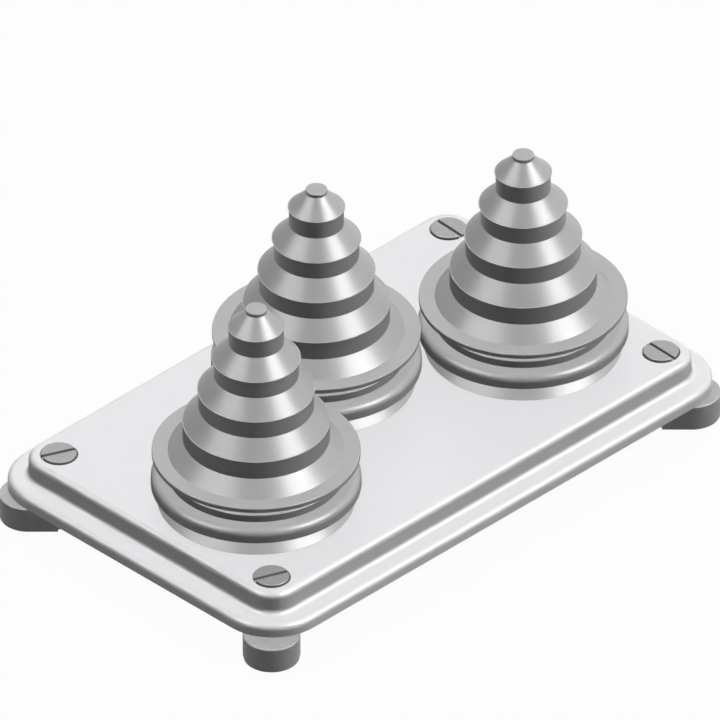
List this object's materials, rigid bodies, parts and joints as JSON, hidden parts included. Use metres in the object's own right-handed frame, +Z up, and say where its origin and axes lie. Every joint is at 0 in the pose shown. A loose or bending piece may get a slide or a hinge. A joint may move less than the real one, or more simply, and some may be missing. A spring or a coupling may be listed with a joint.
{
  "type": "cable entry plate",
  "caption": "Rectangular stepped-edge cable entry plate with tall stepped cone grommets, a panel gasket and screw-driven swinging clamp dogs in the corners.",
  "frame": {"origin": "under the middle of the plate, level with the screw tips on which it stands", "axes": "+X along the plate, +Y across it towards the middle grommet's side, +Z up out of the panel"},
  "size_m": [0.2, 0.1244, 0.0964],
  "materials": {
    "plate_plastic": "fine satin",
    "grommet_rubber": "satin",
    "seal_rubber": "matt",
    "zinc_plated_steel": "satin",
    "dog_metal": "satin",
    "spring_steel": "dark"
  },
  "bodies": {
    "plate": {"cover_plate": "plate_plastic", "panel_gasket": "seal_rubber", "grommet_left": "grommet_rubber", "grommet_middle": "grommet_rubber", "grommet_right": "grommet_rubber", "sealing_ring_front_left": "seal_rubber", "sealing_ring_front_right": "seal_rubber", "sealing_ring_back_right": "seal_rubber", "sealing_ring_back_left": "seal_rubber"},
    "screw_front_left": {"screw_front_left": "zinc_plated_steel", "retaining_ring_front_left": "spring_steel"},
    "dog_front_left": {"clamp_dog_front_left": "dog_metal"},
    "screw_front_right": {"screw_front_right": "zinc_plated_steel", "retaining_ring_front_right": "spring_steel"},
    "dog_front_right": {"clamp_dog_front_right": "dog_metal"},
    "screw_back_right": {"screw_back_right": "zinc_plated_steel", "retaining_ring_back_right": "spring_steel"},
    "dog_back_right": {"clamp_dog_back_right": "dog_metal"},
    "screw_back_left": {"screw_back_left": "zinc_plated_steel", "retaining_ring_back_left": "spring_steel"},
    "dog_back_left": {"clamp_dog_back_left": "dog_metal"}
  },
  "joints": [
    {"name": "swing_front_left", "type": "hinge", "parent": "plate", "child": "screw_front_left", "pos_m": [-0.084, -0.04585, 0.0142], "axis": [0, 0, 1], "range_deg": [0, 135]},
    {"name": "clamp_front_left", "type": "slide", "parent": "screw_front_left", "child": "dog_front_left", "axis": [0, 0, 1], "range_m": [-0.001, 0.0017]},
    {"name": "swing_front_right", "type": "hinge", "parent": "plate", "child": "screw_front_right", "pos_m": [0.084, -0.04585, 0.0142], "axis": [0, 0, 1], "range_deg": [0, 135]},
    {"name": "clamp_front_right", "type": "slide", "parent": "screw_front_right", "child": "dog_front_right", "axis": [0, 0, 1], "range_m": [-0.001, 0.0017]},
    {"name": "swing_back_right", "type": "hinge", "parent": "plate", "child": "screw_back_right", "pos_m": [0.084, 0.04585, 0.0142], "axis": [0, 0, 1], "range_deg": [0, 135]},
    {"name": "clamp_back_right", "type": "slide", "parent": "screw_back_right", "child": "dog_back_right", "axis": [0, 0, 1], "range_m": [-0.001, 0.0017]},
    {"name": "swing_back_left", "type": "hinge", "parent": "plate", "child": "screw_back_left", "pos_m": [-0.084, 0.04585, 0.0142], "axis": [0, 0, 1], "range_deg": [0, 135]},
    {"name": "clamp_back_left", "type": "slide", "parent": "screw_back_left", "child": "dog_back_left", "axis": [0, 0, 1], "range_m": [-0.001, 0.0017]}
  ]
}
